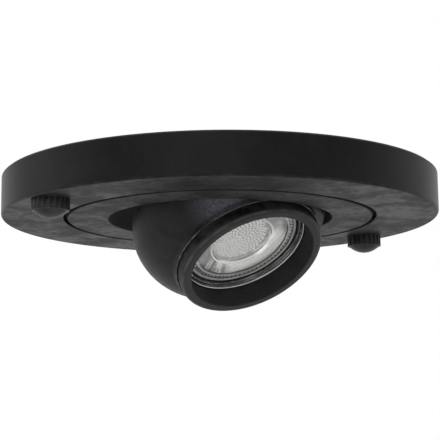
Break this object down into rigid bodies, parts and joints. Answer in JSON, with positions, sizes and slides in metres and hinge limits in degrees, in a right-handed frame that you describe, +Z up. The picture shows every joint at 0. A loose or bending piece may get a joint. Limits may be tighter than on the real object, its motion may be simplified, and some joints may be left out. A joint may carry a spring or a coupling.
{
  "type": "recessed spotlight",
  "caption": "Round black ceiling spotlight with a turning inner plate and a tilting rounded head behind a clear glass, held up by ribbed thumb nuts.",
  "frame": {"origin": "centre of the mounting ring on the plane of the ceiling", "axes": "+Z up into the ceiling, X along the tilt axis and through both thumb nuts, the head aims towards -Y and down"},
  "size_m": [0.16, 0.16, 0.0622],
  "materials": {
    "cover_black": "black coated cast aluminium with a satin, slightly clouded face",
    "head_black": "smooth satin black coat",
    "bezel_black": "smooth semi-gloss black coat",
    "nut_black": "satin black ribbed steel",
    "seal_black": "black foam rubber",
    "zinc_steel": "zinc plated",
    "spring_steel": "bright spring steel",
    "terminal_plastic": "off-white",
    "brass": "bare",
    "fibre": "red-brown fibre",
    "clear_glass": "clear, polished",
    "clear_plastic": "clear moulded, pebbled in the middle",
    "holder_plastic": "bright silver-grey cup",
    "led_phosphor": "yellow phosphor",
    "board_white": "white solder mask on aluminium",
    "bare_aluminium": "machined"
  },
  "bodies": {
    "housing": {"cover_ring": "cover_black", "carrier_ring": "cover_black", "rim_gasket": "seal_black", "mounting_ring": "zinc_steel", "cover_studs": "zinc_steel", "stud_nuts": "zinc_steel", "terminal_block": "terminal_plastic", "terminal_clamps": "brass", "terminal_screws": "zinc_steel", "terminal_fixings": "zinc_steel", "pan_stop_post": "zinc_steel", "pan_washer": "fibre"},
    "turntable": {"turntable": "cover_black", "disc_spring": "spring_steel", "pan_circlip": "spring_steel", "pan_stop_arm": "zinc_steel", "pivot_screws": "zinc_steel", "tilt_springs": "spring_steel"},
    "head": {"ball_shell": "head_black", "pivot_bushes": "brass", "tilt_washers": "fibre", "bezel": "bezel_black", "glass_ring": "spring_steel", "front_glass": "clear_glass", "glass_seal": "seal_black", "optic": "clear_plastic", "optic_holder": "holder_plastic", "led_chip": "led_phosphor", "led_board": "board_white", "board_screws": "zinc_steel", "heat_sink": "bare_aluminium", "heat_sink_screws": "zinc_steel", "back_gasket": "seal_black", "lead_grommet": "seal_black"},
    "nut_left": {"thumb_nut_left": "nut_black"},
    "nut_right": {"thumb_nut_right": "nut_black"}
  },
  "joints": [
    {"name": "pan", "type": "hinge", "parent": "housing", "child": "turntable", "pos_m": [0, 0, 0], "axis": [0, 0, 1], "range_deg": [-176, 176]},
    {"name": "tilt", "type": "hinge", "parent": "turntable", "child": "head", "pos_m": [0, 0, -0.0059], "axis": [1, 0, 0], "range_deg": [0, 71]},
    {"name": "turn_nut_left", "type": "hinge", "parent": "housing", "child": "nut_left", "pos_m": [-0.0714, 0, -0.015], "axis": [0, 0, -1], "continuous": true},
    {"name": "turn_nut_right", "type": "hinge", "parent": "housing", "child": "nut_right", "pos_m": [0.0714, 0, -0.015], "axis": [0, 0, -1], "continuous": true}
  ]
}
